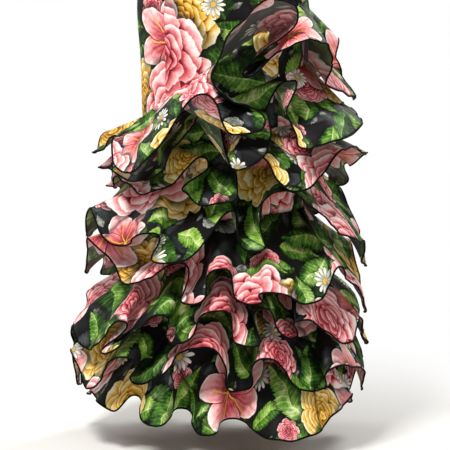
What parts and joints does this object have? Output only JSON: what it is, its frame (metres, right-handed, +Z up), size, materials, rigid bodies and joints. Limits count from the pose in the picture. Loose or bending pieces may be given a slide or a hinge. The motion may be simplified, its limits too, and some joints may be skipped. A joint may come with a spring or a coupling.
{
  "type": "flamenco dress",
  "caption": "Long fitted sleeveless dress with rows of deep ruffled flounces from the hip to the hem, hollow as worn, open at the neck, armholes and hem.",
  "frame": {"origin": "midway between the wearer's shoulders, at the height where the straps rest on them", "axes": "+Z up, -Y to the front of the dress, +X to the wearer's left"},
  "size_m": [0.5922, 0.5945, 1.445],
  "materials": {
    "printed_cotton_sateen": "satin"
  },
  "bodies": {
    "root": {"front_centre": "printed_cotton_sateen", "front_side_right": "printed_cotton_sateen", "front_side_left": "printed_cotton_sateen", "back_side_left": "printed_cotton_sateen", "back_left": "printed_cotton_sateen", "back_right": "printed_cotton_sateen", "back_side_right": "printed_cotton_sateen", "flounce_1_front": "printed_cotton_sateen", "flounce_1_back": "printed_cotton_sateen", "flounce_2_front": "printed_cotton_sateen", "flounce_2_back": "printed_cotton_sateen", "flounce_3_front": "printed_cotton_sateen", "flounce_3_back": "printed_cotton_sateen", "flounce_4_front": "printed_cotton_sateen", "flounce_4_back": "printed_cotton_sateen", "flounce_5_front": "printed_cotton_sateen", "flounce_5_back": "printed_cotton_sateen", "flounce_6_front": "printed_cotton_sateen", "flounce_6_back": "printed_cotton_sateen", "flounce_7_front": "printed_cotton_sateen", "flounce_7_back": "printed_cotton_sateen", "flounce_8_front": "printed_cotton_sateen", "flounce_8_back": "printed_cotton_sateen"}
  },
  "joints": []
}
